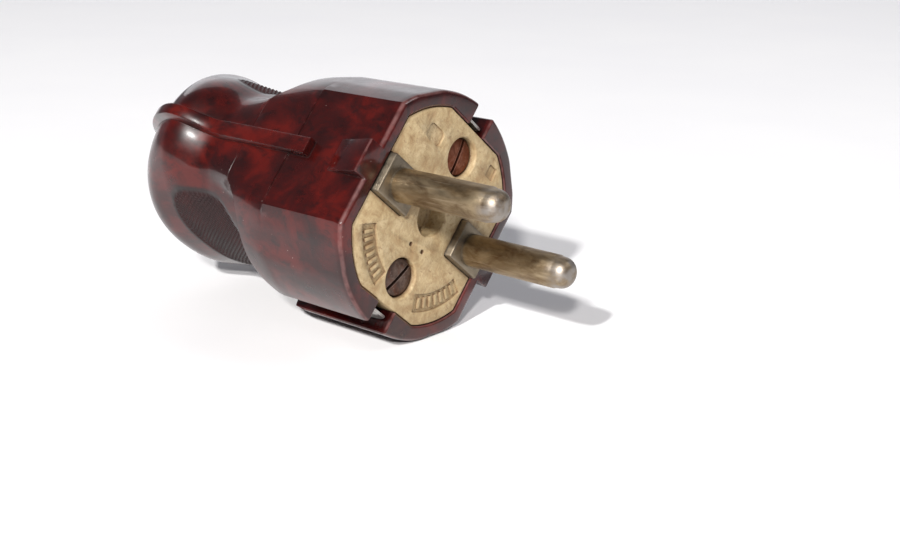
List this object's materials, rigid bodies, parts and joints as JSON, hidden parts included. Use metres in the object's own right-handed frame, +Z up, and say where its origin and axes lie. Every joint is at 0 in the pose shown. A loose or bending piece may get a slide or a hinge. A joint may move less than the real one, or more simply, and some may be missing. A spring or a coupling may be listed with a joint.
{
  "type": "mains plug",
  "caption": "Round two-pin earthed mains plug: one-piece moulded housing with ribbed grip, side earth slots and an insert that carries the pins; lies on its collar.",
  "frame": {"origin": "on the plug's axis, in the plane of the collar's front face, midway between the two pins", "axes": "+X along the pins, in the direction the plug goes into a socket; +Z up as the plug lies on the round of its collar, which puts the pin line 40.4 degrees below +Y"},
  "size_m": [0.0739, 0.036, 0.0356],
  "materials": {
    "bakelite": "glossy mottled dark red phenolic moulding, dulled and finely scratched by use",
    "pressed_insert": "matt pressed cream insulating compound with brown stains",
    "pin_metal": "worn nickel-plated brass, tarnished olive brown with bright tips",
    "terminal_brass": "aged brass",
    "earth_strip": "tinned spring strip with a dull grey film",
    "plated_steel": "dull zinc-plated steel",
    "dark_steel": "dark oxidised steel with some rust",
    "hard_fibre": "matt red-brown vulcanised fibre"
  },
  "bodies": {
    "housing": {"housing": "bakelite", "fixing_insert_upper": "terminal_brass", "fixing_insert_lower": "terminal_brass"},
    "carrier": {"contact_carrier": "pressed_insert", "pin_left": "pin_metal", "pin_right": "pin_metal", "pin_nut_left": "terminal_brass", "pin_nut_right": "terminal_brass", "terminal_washer_left": "terminal_brass", "terminal_washer_right": "terminal_brass", "earth_bridge": "earth_strip", "clamp_bracket": "plated_steel", "earth_washer": "plated_steel"},
    "terminal_nut_left": {"terminal_nut_left": "terminal_brass"},
    "terminal_nut_right": {"terminal_nut_right": "terminal_brass"},
    "earth_screw": {"earth_screw": "plated_steel"},
    "earth_contact_upper": {"earth_contact_upper": "earth_strip"},
    "earth_contact_lower": {"earth_contact_lower": "earth_strip"},
    "clamp_bar": {"clamp_bar": "hard_fibre"},
    "clamp_screw_left": {"clamp_screw_left": "plated_steel"},
    "clamp_screw_right": {"clamp_screw_right": "plated_steel"},
    "fixing_screw_upper": {"fixing_screw_upper": "dark_steel"},
    "fixing_screw_lower": {"fixing_screw_lower": "dark_steel"}
  },
  "joints": [
    {"name": "carrier_slide", "type": "slide", "parent": "housing", "child": "carrier", "axis": [1, 0, 0], "range_m": [0, 0.034]},
    {"name": "fixing_screw_upper_turn", "type": "hinge", "parent": "carrier", "child": "fixing_screw_upper", "pos_m": [0, 0.00642, 0.00754], "axis": [1, 0, 0], "continuous": true},
    {"name": "fixing_screw_lower_turn", "type": "hinge", "parent": "carrier", "child": "fixing_screw_lower", "pos_m": [0, -0.00642, -0.00754], "axis": [1, 0, 0], "continuous": true},
    {"name": "terminal_nut_left_turn", "type": "hinge", "parent": "carrier", "child": "terminal_nut_left", "pos_m": [-0.014, -0.00724, 0.00616], "axis": [-1, 0, 0], "continuous": true},
    {"name": "terminal_nut_right_turn", "type": "hinge", "parent": "carrier", "child": "terminal_nut_right", "pos_m": [-0.014, 0.00724, -0.00616], "axis": [-1, 0, 0], "continuous": true},
    {"name": "earth_screw_turn", "type": "hinge", "parent": "carrier", "child": "earth_screw", "pos_m": [-0.013, 0, 0], "axis": [-1, 0, 0], "continuous": true},
    {"name": "earth_contact_upper_flex", "type": "hinge", "parent": "carrier", "child": "earth_contact_upper", "pos_m": [-0.0099, 0.01014, 0.01192], "axis": [0, 0.7615, -0.6481], "range_deg": [0, 4], "stiffness_Nm_per_rad": 0.3},
    {"name": "earth_contact_lower_flex", "type": "hinge", "parent": "carrier", "child": "earth_contact_lower", "pos_m": [-0.0099, -0.01014, -0.01192], "axis": [0, -0.7615, 0.6481], "range_deg": [0, 4], "stiffness_Nm_per_rad": 0.3},
    {"name": "clamp_bar_slide", "type": "slide", "parent": "carrier", "child": "clamp_bar", "axis": [0, -0.6481, -0.7615], "range_m": [0, 0.0025]},
    {"name": "clamp_screw_left_turn", "type": "hinge", "parent": "clamp_bar", "child": "clamp_screw_left", "pos_m": [-0.0265, -0.00388, 0.00331], "axis": [0, -0.6481, -0.7615], "range_deg": [0, 2002]},
    {"name": "clamp_screw_right_turn", "type": "hinge", "parent": "clamp_bar", "child": "clamp_screw_right", "pos_m": [-0.0265, 0.00388, -0.00331], "axis": [0, -0.6481, -0.7615], "range_deg": [0, 2002]}
  ],
  "couplings": [
    {"joint": "clamp_screw_left_turn", "follows": "clamp_bar_slide", "rad_per_m": 13963},
    {"joint": "clamp_screw_right_turn", "follows": "clamp_bar_slide", "rad_per_m": 13963}
  ]
}
